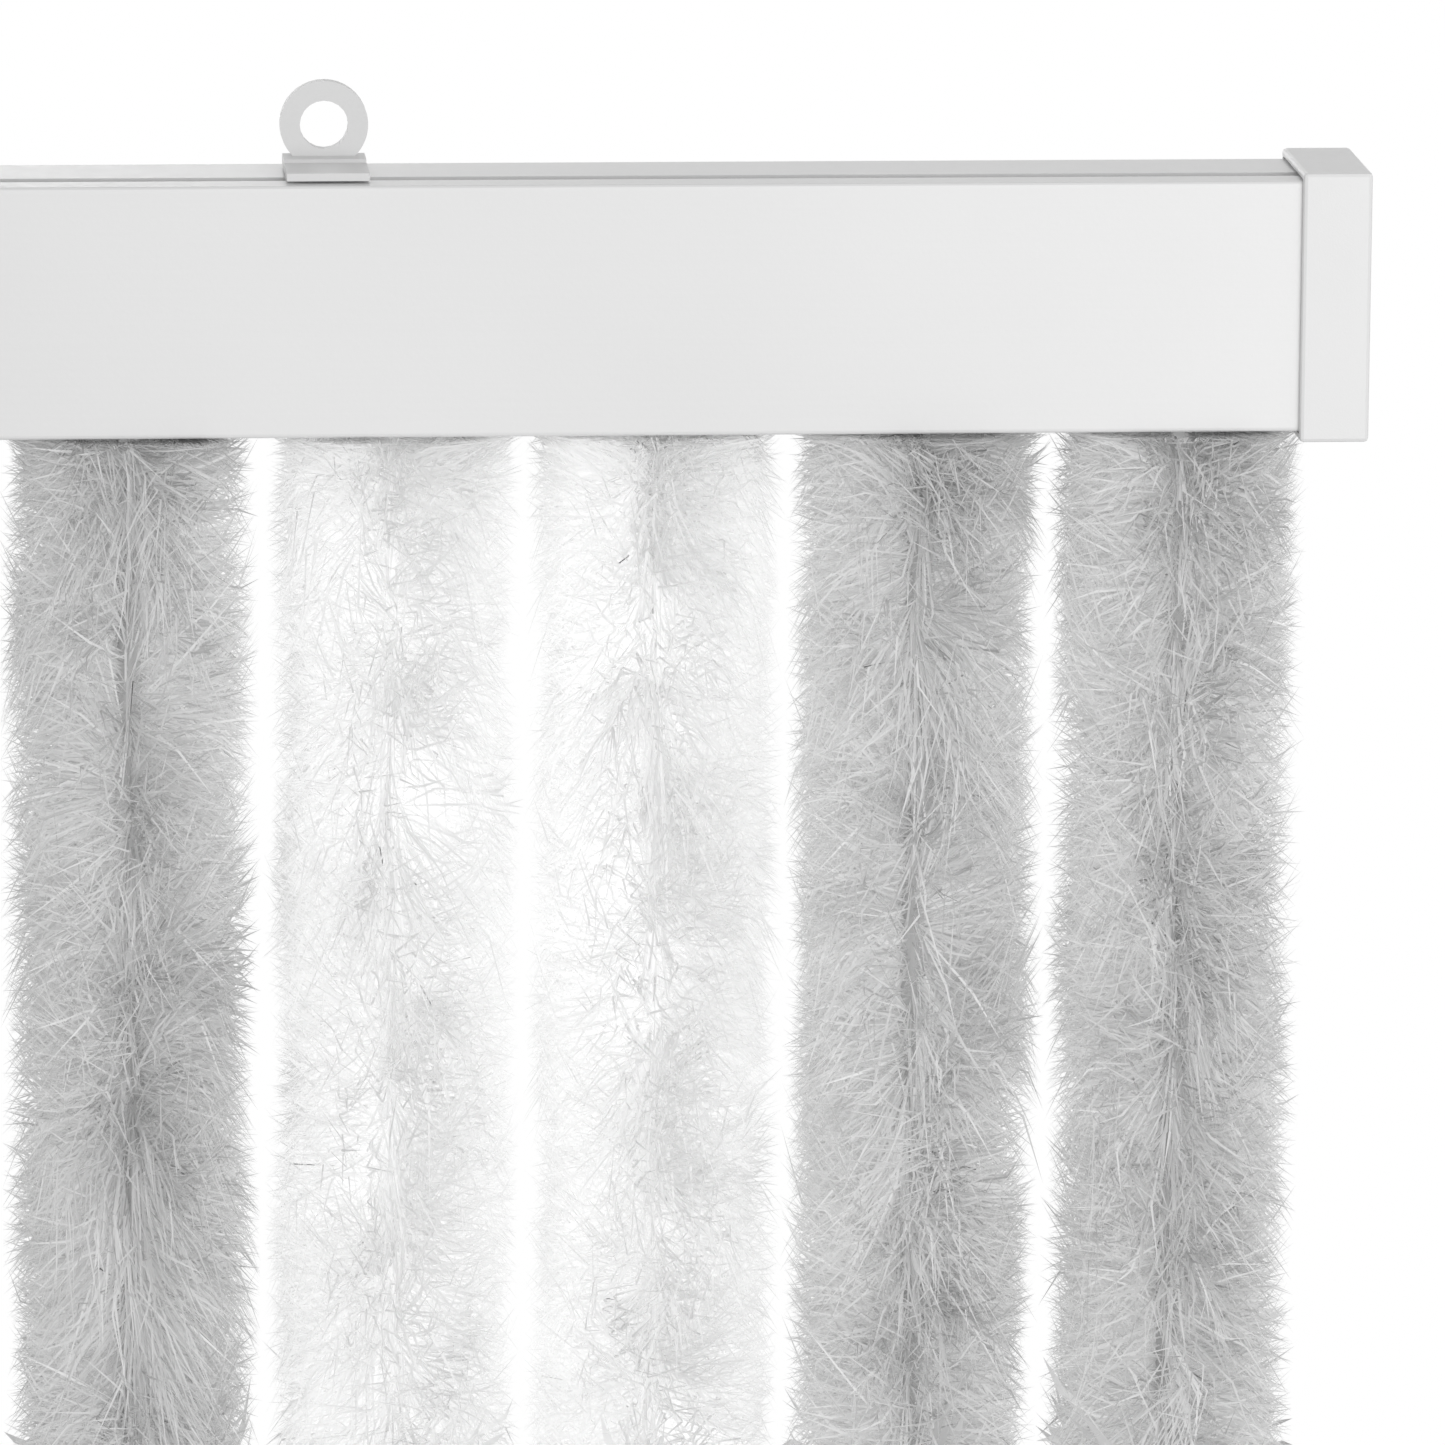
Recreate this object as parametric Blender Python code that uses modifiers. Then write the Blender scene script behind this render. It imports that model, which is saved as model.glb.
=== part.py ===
"""Chenille fly curtain: a slotted aluminium rail with end caps and two hanging eyes, and a row of
chenille strands that hang from gliders in the rail's lower channel.

Metres, +Z up. +X runs along the rail and the front faces -Y. The origin lies midway between the
centres of the two hanging eyes, in the middle of their thickness."""

import math

import bmesh
import bpy
from mathutils import Matrix, Vector

MM = 0.001

# Whole curtain
CURTAIN_WIDTH = 560 * MM  # over both end caps
CURTAIN_DROP = 1850 * MM  # from the rail's top to the tips of the strands
SEAT_GAP = 0.3 * MM  # left between pieces that seat on each other
OVERRUN = 2 * MM  # how far a cutter reaches past what it cuts

# Rail
RAIL_DEPTH = 18 * MM
RAIL_HEIGHT = 29.2 * MM
RAIL_WALL = 1.2 * MM
RAIL_EDGE_RADIUS = 0.5 * MM
TOP_SLOT_WIDTH = 2.6 * MM
TOP_SLOT_FROM_BACK = 12.2 * MM  # back face to the slot's middle

# End caps
CAP_LENGTH = 8 * MM
CAP_WALL = 0.8 * MM
CAP_END_WALL = 1.6 * MM
CAP_EDGE_RADIUS = 0.45 * MM
ROW_INSET = 5.5 * MM  # cap's outer end to the row of gliders

# Hanging eyes
EYE_FROM_END = 120 * MM
EYE_HEIGHT = 5.2 * MM  # ring's centre above the rail
EYE_SETBACK = 3.4 * MM  # ring's back face in front of the rail's back face
EYE_RING_DIAMETER = 10.2 * MM
EYE_HOLE_DIAMETER = 5.6 * MM
EYE_THICKNESS = 1.6 * MM
EYE_NECK_WIDTH = 7.4 * MM
EYE_BASE_WIDTH = 9.5 * MM
EYE_BASE_THICKNESS = 0.9 * MM
EYE_BASE_INSET = 2 * MM  # base's front edge behind the rail's front face
EYE_BASE_LIP = 0.5 * MM  # base's back edge behind the ring
EYE_PAD_LENGTH = 4.9 * MM  # raised rear part of the base, under the ring
EYE_PAD_RISE = 0.4 * MM
EYE_FOOT_THICKNESS = 1.2 * MM
EYE_FOOT_REACH = 2.4 * MM  # foot past each side of the tongue

# Gliders
GLIDER_HEAD_HEIGHT = 2.4 * MM
GLIDER_PLATE_THICKNESS = 2.4 * MM
GLIDER_RIM = 1.1 * MM  # material round the thread hole
PIVOT_DROP = 3 * MM  # thread hole's middle below the rail

# Strands
STRAND_DIAMETER = 27.6 * MM
STRAND_SPACE = 2.9 * MM  # wanted between neighbouring strands
PILE_SHOULDER_RADIUS = 5 * MM
PILE_TIP_RADIUS = 9 * MM
SWING_ANGLE = math.radians(60)  # to the front and to the back
SWING_CLEARANCE = 0.7 * MM  # left to the rail's lower edge at the end of the swing
THREAD_DIAMETER = 1.2 * MM
THREAD_SIDE_CLEARANCE = 0.6 * MM  # thread loop to the sides of the glider's plate
THREAD_SINK = 3 * MM  # ends of the loop inside the pile

# Numbers of segments
RING_SEGMENTS = 28
HOLE_SEGMENTS = 20
THREAD_HOLE_SEGMENTS = 12
CORNER_SEGMENTS = 3
STRAND_SIDES = 16
STRAND_END_SEGMENTS = 2
STRAND_BODY_SEGMENTS = 3
THREAD_BEND_SEGMENTS = 2

# Worked out from the sizes above
RAIL_BACK = EYE_THICKNESS / 2 + EYE_SETBACK
RAIL_FRONT = RAIL_BACK - RAIL_DEPTH
RAIL_MIDDLE = (RAIL_BACK + RAIL_FRONT) / 2
RAIL_TOP = -EYE_HEIGHT
RAIL_BOTTOM = RAIL_TOP - RAIL_HEIGHT
RAIL_END = CURTAIN_WIDTH / 2 - CAP_END_WALL - SEAT_GAP
CHANNEL_BACK = RAIL_BACK - RAIL_WALL
CHANNEL_FRONT = RAIL_FRONT + RAIL_WALL
CHANNEL_FLOOR = RAIL_BOTTOM + RAIL_WALL
WEB_BOTTOM = CHANNEL_FLOOR + GLIDER_HEAD_HEIGHT + 2 * SEAT_GAP
WEB_TOP = WEB_BOTTOM + RAIL_WALL
TOP_WALL_UNDERSIDE = RAIL_TOP - RAIL_WALL
TOP_SLOT_MIDDLE = RAIL_BACK - TOP_SLOT_FROM_BACK

THREAD_HOLE_RADIUS = THREAD_DIAMETER / 2 + SEAT_GAP
GLIDER_PLATE_RADIUS = THREAD_HOLE_RADIUS + GLIDER_RIM
BOTTOM_SLOT_WIDTH = 2 * (GLIDER_PLATE_RADIUS + SEAT_GAP)
PIVOT_HEIGHT = RAIL_BOTTOM - PIVOT_DROP

ROW_LENGTH = CURTAIN_WIDTH - 2 * ROW_INSET
STRAND_COUNT = round(ROW_LENGTH / (STRAND_DIAMETER + STRAND_SPACE))
STRAND_PITCH = ROW_LENGTH / STRAND_COUNT
STRAND_LENGTH = CURTAIN_DROP - RAIL_HEIGHT - PIVOT_DROP  # pivot to tip

# Turns an outline drawn in the XY plane into the YZ plane, so that it is extruded along X
ACROSS_RAIL = Matrix(((0, 0, 1), (1, 0, 0), (0, 1, 0))).to_4x4()
# Stands an outline drawn in the XY plane upright, facing the front
FACING_FRONT = Matrix.Rotation(math.pi / 2, 4, "X")


def clear_scene():
    for old in list(bpy.data.objects):
        bpy.data.objects.remove(old, do_unlink=True)


def new_collection(name):
    collection = bpy.data.collections.new(name)
    bpy.context.scene.collection.children.link(collection)
    return collection


def new_material(name, colour, roughness, metallic=0):
    material = bpy.data.materials.new(name)
    material.use_nodes = True
    surface = material.node_tree.nodes["Principled BSDF"]
    surface.inputs["Base Color"].default_value = (*colour, 1)
    surface.inputs["Roughness"].default_value = roughness
    surface.inputs["Metallic"].default_value = metallic
    return material


def arc(centre, radius, start, end, segments):
    """Points along an arc, both ends included. Angles in radians."""
    turns = [start + (end - start) * i / segments for i in range(segments + 1)]
    return [(centre[0] + radius * math.cos(a), centre[1] + radius * math.sin(a)) for a in turns]


def circle(centre, radius, segments):
    return arc(centre, radius, 0, math.tau, segments)[:-1]


def rectangle(low, high):
    return [(low[0], low[1]), (high[0], low[1]), (high[0], high[1]), (low[0], high[1])]


def rounded_rectangle(low, high, radius):
    """Corner arcs, anticlockwise from the upper right."""
    corners = [
        ((high[0] - radius, high[1] - radius), 0),
        ((low[0] + radius, high[1] - radius), 1),
        ((low[0] + radius, low[1] + radius), 2),
        ((high[0] - radius, low[1] + radius), 3),
    ]
    points = []
    for centre, quarter in corners:
        start = quarter * math.pi / 2
        points += arc(centre, radius, start, start + math.pi / 2, CORNER_SEGMENTS)
    return points


def outline_object(name, loops, thickness, matrix, collection):
    """A flat outline with its holes, extruded to both sides of its plane."""
    curve = bpy.data.curves.new(name, "CURVE")
    curve.dimensions = "2D"
    curve.fill_mode = "BOTH"
    curve.extrude = thickness / 2
    for loop in loops:
        spline = curve.splines.new("POLY")
        spline.points.add(len(loop) - 1)
        for point, (x, y) in zip(spline.points, loop):
            point.co = (x, y, 0, 1)
        spline.use_cyclic_u = True
    outline = bpy.data.objects.new(name, curve)
    outline.matrix_world = matrix
    collection.objects.link(outline)
    return outline


def evaluated_mesh(source):
    """The object's mesh with its modifiers and welded caps."""
    graph = bpy.context.evaluated_depsgraph_get()
    mesh = bpy.data.meshes.new_from_object(source.evaluated_get(graph))
    work = bmesh.new()
    work.from_mesh(mesh)
    bmesh.ops.remove_doubles(work, verts=work.verts, dist=SEAT_GAP / 100)
    work.to_mesh(mesh)
    work.free()
    return mesh


def as_mesh(curve_object, collection):
    """Swaps a curve object for a mesh object of the same name and place."""
    name, matrix = curve_object.name, curve_object.matrix_world.copy()
    mesh = evaluated_mesh(curve_object)
    bpy.data.objects.remove(curve_object, do_unlink=True)
    solid = bpy.data.objects.new(name, mesh)
    solid.matrix_world = matrix
    collection.objects.link(solid)
    return solid


def solid_outline(name, loops, thickness, matrix, collection):
    return as_mesh(outline_object(name, loops, thickness, matrix, collection), collection)


def prism(name, outline, length, matrix, collection):
    """A straight bar with one closed outline as its section, centred on the outline's plane."""
    mesh = bpy.data.meshes.new(name)
    work = bmesh.new()
    section = work.faces.new([work.verts.new((x, y, -length / 2)) for x, y in outline])
    grown = bmesh.ops.extrude_face_region(work, geom=[section])["geom"]
    far_end = [item for item in grown if isinstance(item, bmesh.types.BMVert)]
    bmesh.ops.translate(work, vec=(0, 0, length), verts=far_end)
    bmesh.ops.recalc_face_normals(work, faces=work.faces)
    work.to_mesh(mesh)
    work.free()
    bar = bpy.data.objects.new(name, mesh)
    bar.matrix_world = matrix
    collection.objects.link(bar)
    return bar


def block(name, low, high, collection):
    """A box between two corners, with its size in its mesh."""
    low, high = Vector(low), Vector(high)
    mesh = bpy.data.meshes.new(name)
    work = bmesh.new()
    bmesh.ops.create_cube(work, size=1)
    bmesh.ops.scale(work, vec=high - low, verts=work.verts)
    work.to_mesh(mesh)
    work.free()
    box = bpy.data.objects.new(name, mesh)
    box.location = (low + high) / 2
    collection.objects.link(box)
    return box


def combine(solid, tool, operation):
    """A Boolean with a tool that is kept as a guide."""
    tool.hide_render = True
    tool.display_type = "WIRE"
    boolean = solid.modifiers.new(tool.name, "BOOLEAN")
    boolean.operation = operation
    boolean.solver = "EXACT"
    boolean.object = tool


def round_edges(solid, radius):
    bevel = solid.modifiers.new("rounded edges", "BEVEL")
    bevel.width = radius
    bevel.segments = 2
    bevel.limit_method = "ANGLE"


def dress(solid, material):
    solid.data.materials.clear()
    solid.data.materials.append(material)


def rail_outline():
    """One closed line round the walls, the web between the two chambers and both slots."""
    radius = RAIL_EDGE_RADIUS
    back_top, back_bottom, front_bottom, front_top = (
        arc((RAIL_BACK - radius, RAIL_TOP - radius), radius, math.pi / 2, 0, CORNER_SEGMENTS),
        arc((RAIL_BACK - radius, RAIL_BOTTOM + radius), radius, 0, -math.pi / 2, CORNER_SEGMENTS),
        arc((RAIL_FRONT + radius, RAIL_BOTTOM + radius), radius, -math.pi / 2, -math.pi, CORNER_SEGMENTS),
        arc((RAIL_FRONT + radius, RAIL_TOP - radius), radius, math.pi, math.pi / 2, CORNER_SEGMENTS),
    )
    slot_back = TOP_SLOT_MIDDLE + TOP_SLOT_WIDTH / 2
    slot_front = TOP_SLOT_MIDDLE - TOP_SLOT_WIDTH / 2
    lip_back = RAIL_MIDDLE + BOTTOM_SLOT_WIDTH / 2
    lip_front = RAIL_MIDDLE - BOTTOM_SLOT_WIDTH / 2
    return [
        (slot_back, TOP_WALL_UNDERSIDE),
        (slot_back, RAIL_TOP),
        *back_top,
        *back_bottom,
        (lip_back, RAIL_BOTTOM),
        (lip_back, CHANNEL_FLOOR),
        (CHANNEL_BACK, CHANNEL_FLOOR),
        (CHANNEL_BACK, WEB_BOTTOM),
        (CHANNEL_FRONT, WEB_BOTTOM),
        (CHANNEL_FRONT, CHANNEL_FLOOR),
        (lip_front, CHANNEL_FLOOR),
        (lip_front, RAIL_BOTTOM),
        *front_bottom,
        *front_top,
        (slot_front, RAIL_TOP),
        (slot_front, TOP_WALL_UNDERSIDE),
        (CHANNEL_FRONT, TOP_WALL_UNDERSIDE),
        (CHANNEL_FRONT, WEB_TOP),
        (CHANNEL_BACK, WEB_TOP),
        (CHANNEL_BACK, TOP_WALL_UNDERSIDE),
    ]


def make_rail(parts, lacquer):
    rail = prism("rail", rail_outline(), 2 * RAIL_END, ACROSS_RAIL, parts)
    dress(rail, lacquer)


def make_end_cap(name, side, parts, cutters, plastic):
    """A box that wraps the rail's end, with a plug in each chamber. side is 1 at the right end."""
    outer_end = side * CURTAIN_WIDTH / 2
    mouth = outer_end - side * CAP_LENGTH
    floor = outer_end - side * CAP_END_WALL
    stand_off = SEAT_GAP + CAP_WALL
    xs = sorted((outer_end, mouth))
    cap = block(
        name,
        (xs[0], RAIL_FRONT - stand_off, RAIL_BOTTOM - stand_off),
        (xs[1], RAIL_BACK + stand_off, RAIL_TOP + stand_off),
        parts,
    )
    round_edges(cap, CAP_EDGE_RADIUS)

    pocket = rounded_rectangle(
        (RAIL_FRONT - SEAT_GAP, RAIL_BOTTOM - SEAT_GAP),
        (RAIL_BACK + SEAT_GAP, RAIL_TOP + SEAT_GAP),
        RAIL_EDGE_RADIUS + SEAT_GAP,
    )
    upper_plug = rectangle(
        (CHANNEL_FRONT + SEAT_GAP, WEB_TOP + SEAT_GAP),
        (CHANNEL_BACK - SEAT_GAP, TOP_WALL_UNDERSIDE - SEAT_GAP),
    )
    length = CAP_LENGTH - CAP_END_WALL + OVERRUN
    place = Matrix.Translation((floor - side * length / 2, 0, 0)) @ ACROSS_RAIL
    cutter = solid_outline(name + "_pocket", [pocket, upper_plug], length, place, cutters)
    combine(cap, cutter, "DIFFERENCE")

    plug_root = outer_end - side * CAP_END_WALL / 2
    plug_tip = outer_end - side * (ROW_INSET - SEAT_GAP / 2)
    xs = sorted((plug_root, plug_tip))
    stop = block(
        name + "_row_stop",
        (xs[0], CHANNEL_FRONT + SEAT_GAP, CHANNEL_FLOOR + SEAT_GAP),
        (xs[1], CHANNEL_BACK - SEAT_GAP, WEB_BOTTOM - SEAT_GAP),
        cutters,
    )
    combine(cap, stop, "UNION")
    dress(cap, plastic)


def eye_clip_outline():
    """Base on the rail's top, tongue through the top slot and foot under the top wall."""
    base_bottom = RAIL_TOP + SEAT_GAP
    base_top = base_bottom + EYE_BASE_THICKNESS
    base_back = EYE_THICKNESS / 2 + EYE_BASE_LIP
    base_front = RAIL_FRONT + EYE_BASE_INSET
    pad_front = base_back - EYE_PAD_LENGTH
    pad_top = base_top + EYE_PAD_RISE
    tongue = TOP_SLOT_WIDTH / 2 - SEAT_GAP
    tongue_back, tongue_front = TOP_SLOT_MIDDLE + tongue, TOP_SLOT_MIDDLE - tongue
    foot_top = TOP_WALL_UNDERSIDE - SEAT_GAP
    foot_bottom = foot_top - EYE_FOOT_THICKNESS
    foot_back, foot_front = tongue_back + EYE_FOOT_REACH, tongue_front - EYE_FOOT_REACH
    return [
        (base_back, base_bottom),
        (base_back, pad_top),
        (pad_front, pad_top),
        (pad_front, base_top),
        (base_front, base_top),
        (base_front, base_bottom),
        (tongue_front, base_bottom),
        (tongue_front, foot_top),
        (foot_front, foot_top),
        (foot_front, foot_bottom),
        (foot_back, foot_bottom),
        (foot_back, foot_top),
        (tongue_back, foot_top),
        (tongue_back, base_bottom),
    ]


def eye_ring_outline():
    """A ring whose lower side runs down into the base as a neck."""
    radius, half_neck = EYE_RING_DIAMETER / 2, EYE_NECK_WIDTH / 2
    shoulder = math.acos(half_neck / radius)
    root = RAIL_TOP + SEAT_GAP + EYE_BASE_THICKNESS / 2
    ring = arc((0, 0), radius, -shoulder, math.pi + shoulder, RING_SEGMENTS)
    return ring + [(-half_neck, root), (half_neck, root)]


def make_hanging_eye(name, side, parts, cutters, plastic):
    """The clip slides along the rail, so its origin is the ring's centre."""
    place = Matrix.Translation((side * (CURTAIN_WIDTH / 2 - EYE_FROM_END), 0, 0))
    clip = prism(name, eye_clip_outline(), EYE_BASE_WIDTH, place @ ACROSS_RAIL, parts)
    hole = circle((0, 0), EYE_HOLE_DIAMETER / 2, HOLE_SEGMENTS)
    ring = solid_outline(
        name + "_ring",
        [eye_ring_outline(), hole],
        EYE_THICKNESS,
        place @ FACING_FRONT,
        cutters,
    )
    combine(clip, ring, "UNION")
    dress(clip, plastic)


def glider_mesh(cutters):
    """Head that lies on the channel's lips, and a plate with the thread hole at the origin."""
    head_bottom = CHANNEL_FLOOR + SEAT_GAP - PIVOT_HEIGHT
    head_top = head_bottom + GLIDER_HEAD_HEIGHT
    half_length = (STRAND_PITCH - SEAT_GAP) / 2
    half_depth = (CHANNEL_BACK - CHANNEL_FRONT) / 2 - SEAT_GAP
    head = block(
        "glider_head",
        (-half_length, -half_depth, head_bottom),
        (half_length, half_depth, head_top),
        cutters,
    )
    root = (head_bottom + head_top) / 2
    rim = arc((0, 0), GLIDER_PLATE_RADIUS, -math.pi, 0, THREAD_HOLE_SEGMENTS)
    plate_outline = rim + [(GLIDER_PLATE_RADIUS, root), (-GLIDER_PLATE_RADIUS, root)]
    hole = circle((0, 0), THREAD_HOLE_RADIUS, THREAD_HOLE_SEGMENTS)
    plate = solid_outline(
        "glider_plate",
        [plate_outline, hole],
        GLIDER_PLATE_THICKNESS,
        ACROSS_RAIL,
        cutters,
    )
    combine(head, plate, "UNION")
    return finished_mesh("glider", head)


def finished_mesh(name, solid):
    """The evaluated mesh with the object's own place in it."""
    bpy.context.view_layer.update()
    mesh = evaluated_mesh(solid)
    mesh.transform(solid.matrix_world)
    mesh.name = name
    solid.hide_render = True
    solid.display_type = "WIRE"
    return mesh


def pile_top_drop():
    """Pivot to the pile's flat top.

    The rail's lower edge is at a fixed distance and angle from the pivot. The pile's top passes
    just below it when the strand has swung all the way, and stays below the glider's rim."""
    half_depth = RAIL_DEPTH / 2
    edge_distance = math.hypot(half_depth, PIVOT_DROP)
    edge_angle = math.pi / 2 + math.atan2(PIVOT_DROP, half_depth)  # from straight down
    under_edge = edge_distance * math.cos(edge_angle - SWING_ANGLE)
    return max(under_edge, GLIDER_PLATE_RADIUS) + SWING_CLEARANCE


def pile_profile():
    """Half outline of the pile, from the middle of its top to the middle of its tip."""
    radius = STRAND_DIAMETER / 2
    shoulder, tip = PILE_SHOULDER_RADIUS, PILE_TIP_RADIUS
    top, bottom = -pile_top_drop(), -STRAND_LENGTH
    upper = arc((radius - shoulder, top - shoulder), shoulder, math.pi / 2, 0, STRAND_END_SEGMENTS)
    lower = arc((radius - tip, bottom + tip), tip, 0, -math.pi / 2, STRAND_END_SEGMENTS)
    start, run = upper[-1][1], lower[0][1] - upper[-1][1]
    shares = [i / STRAND_BODY_SEGMENTS for i in range(1, STRAND_BODY_SEGMENTS)]
    straight = [(radius, start + run * share) for share in shares]
    return [(0, top), *upper, *straight, *lower, (0, bottom)]


def make_pile(cutters):
    mesh = bpy.data.meshes.new("pile")
    points = pile_profile()
    edges = [(i, i + 1) for i in range(len(points) - 1)]
    mesh.from_pydata([(x, 0, z) for x, z in points], edges, [])
    pile = bpy.data.objects.new("pile", mesh)
    cutters.objects.link(pile)
    screw = pile.modifiers.new("turned", "SCREW")
    screw.steps = screw.render_steps = STRAND_SIDES
    screw.use_merge_vertices = True
    screw.merge_threshold = SEAT_GAP / 10
    return pile


def make_thread_loop(cutters):
    """Loop of core thread that hangs in the glider's hole, its legs ending inside the pile."""
    bend = THREAD_DIAMETER
    half_top = GLIDER_PLATE_THICKNESS / 2
    half_width = max(half_top + THREAD_SIDE_CLEARANCE + THREAD_DIAMETER / 2, half_top + bend)
    leg_end = -(pile_top_drop() + THREAD_SINK)
    right = arc((half_width - bend, -bend), bend, math.pi / 2, 0, THREAD_BEND_SEGMENTS)
    right.append((half_width, leg_end))
    line = [(-x, z) for x, z in reversed(right)] + right
    curve = bpy.data.curves.new("thread_loop", "CURVE")
    curve.dimensions = "3D"
    curve.bevel_depth = THREAD_DIAMETER / 2
    curve.bevel_resolution = 1
    curve.use_fill_caps = True
    spline = curve.splines.new("POLY")
    spline.points.add(len(line) - 1)
    for point, (x, z) in zip(spline.points, line):
        point.co = (x, 0, z, 1)
    loop = bpy.data.objects.new("thread_loop", curve)
    cutters.objects.link(loop)
    return as_mesh(loop, cutters)


def strand_mesh(cutters):
    """Pile and thread loop as one body, with the pivot at the origin."""
    pile = make_pile(cutters)
    combine(pile, make_thread_loop(cutters), "UNION")
    mesh = finished_mesh("strand", pile)
    mesh.shade_smooth()
    mesh.set_sharp_from_angle(angle=math.radians(40))
    return mesh


def is_grey(index):
    """Pairs of grey and white, counted from the nearer end, grey outermost."""
    from_end = min(index, STRAND_COUNT - 1 - index)
    return from_end // 2 % 2 == 0


def hang_strands(parts, cutters, plastic, grey_pile, white_pile):
    """One glider and one strand at each place along the row, numbered from the left."""
    glider = glider_mesh(cutters)
    glider.materials.append(plastic)
    grey = strand_mesh(cutters)
    white = grey.copy()
    grey.materials.append(grey_pile)
    white.materials.append(white_pile)
    for index in range(STRAND_COUNT):
        x = (index + 1 / 2) * STRAND_PITCH - ROW_LENGTH / 2
        pivot = (x, RAIL_MIDDLE, PIVOT_HEIGHT)
        number = f"{index + 1:02d}"
        for name, mesh in (("glider_", glider), ("strand_", grey if is_grey(index) else white)):
            piece = bpy.data.objects.new(name + number, mesh)
            piece.location = pivot
            parts.objects.link(piece)


def main():
    clear_scene()
    parts = new_collection("chenille_fly_curtain")
    cutters = new_collection("cutters")
    lacquer = new_material("white lacquered aluminium", (0.80, 0.80, 0.80), 0.35, 0.1)
    cap_plastic = new_material("cap plastic", (0.80, 0.80, 0.80), 0.4)
    eye_plastic = new_material("eye plastic", (0.72, 0.72, 0.72), 0.45)
    glider_plastic = new_material("glider plastic", (0.75, 0.75, 0.75), 0.5)
    grey_pile = new_material("grey pile", (0.50, 0.50, 0.50), 0.7)
    white_pile = new_material("white pile", (0.88, 0.88, 0.88), 0.7)

    make_rail(parts, lacquer)
    for name, side in (("left", -1), ("right", 1)):
        make_end_cap("end_cap_" + name, side, parts, cutters, cap_plastic)
        make_hanging_eye("hanging_eye_" + name, side, parts, cutters, eye_plastic)
    hang_strands(parts, cutters, glider_plastic, grey_pile, white_pile)


main()
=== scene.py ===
"""Looks of the chenille fly curtain: the fluffy pile of its strands, and the finishes of the white
rail, its end caps, hanging eyes and gliders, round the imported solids."""

import math

import bmesh
import bpy
from mathutils import Matrix, Vector


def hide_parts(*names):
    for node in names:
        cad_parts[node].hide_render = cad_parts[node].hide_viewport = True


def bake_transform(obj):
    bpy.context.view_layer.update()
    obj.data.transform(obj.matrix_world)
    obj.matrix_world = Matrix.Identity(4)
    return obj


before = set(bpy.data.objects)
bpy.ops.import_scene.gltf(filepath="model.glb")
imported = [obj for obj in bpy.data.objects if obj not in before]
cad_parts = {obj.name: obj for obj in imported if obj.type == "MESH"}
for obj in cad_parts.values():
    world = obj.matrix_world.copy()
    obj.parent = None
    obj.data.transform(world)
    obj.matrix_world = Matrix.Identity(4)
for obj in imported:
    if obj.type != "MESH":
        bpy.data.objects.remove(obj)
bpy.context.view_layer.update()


MM = 0.001

# The photograph's camera, fitted to the rail, the cap and the strands
AIM = Vector((205.8, -10, -68.8)) * MM
CAMERA_DISTANCE = 1341 * MM
CAMERA_YAW = math.radians(4.66)
CAMERA_PITCH = math.radians(11.34)
CAMERA_ROLL = math.radians(0.41)
FRAME_SIDE = 1445
FOCAL_PIXELS = 11569
SENSOR = 36.0

# Places and sizes that the solids share
ROW_MIDDLE = -4.8 * MM  # the strands' middle, front to back
PIVOT_HEIGHT = -37.4 * MM
STRAND_COUNT = 18
STRAND_PITCH = 30.5 * MM
STRAND_LENGTH = 1817.8 * MM  # pivot to tip
THREAD_DIAMETER = 1.2 * MM
THREAD_HALF_WIDTH = 2.4 * MM  # middle of the loop to the middle of a leg
THREAD_LEG = 14 * MM

# Pile
PILE_MAP = "OFBake"  # u is a fibre's shade, v runs from its root to its tip
CORE_RADIUS = 0.9 * MM
CORE_START = -1.8 * MM  # below the pivot, so the core begins above it
CEILING = 2.5 * MM  # above the pivot, just under the rail
SIDE_LIMIT = 15.05 * MM  # halfway to the next strand
ROUND_LIMIT = 13.7 * MM  # from the core's middle line, where the pile is pressed back
TIP_LIMIT = 3 * MM  # past the strand's length
FIBRE_REACH = 13.9 * MM
CLOSE_RUN = 122 * MM  # pile of full closeness, from the top
FADE_RUN = 60 * MM
CLOSE_FIBRES = 20000
OPEN_FIBRES = 20000
CLOSE_WIDTH = 0.3 * MM
OPEN_WIDTH = 1.0 * MM
CORE_BODY = 1.5 * MM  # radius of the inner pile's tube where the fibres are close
OPEN_BODY = 10.4 * MM  # and where they are open

FLOOR_HEIGHT = -1900 * MM
FLOOR_RADIUS = 2.6


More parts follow.
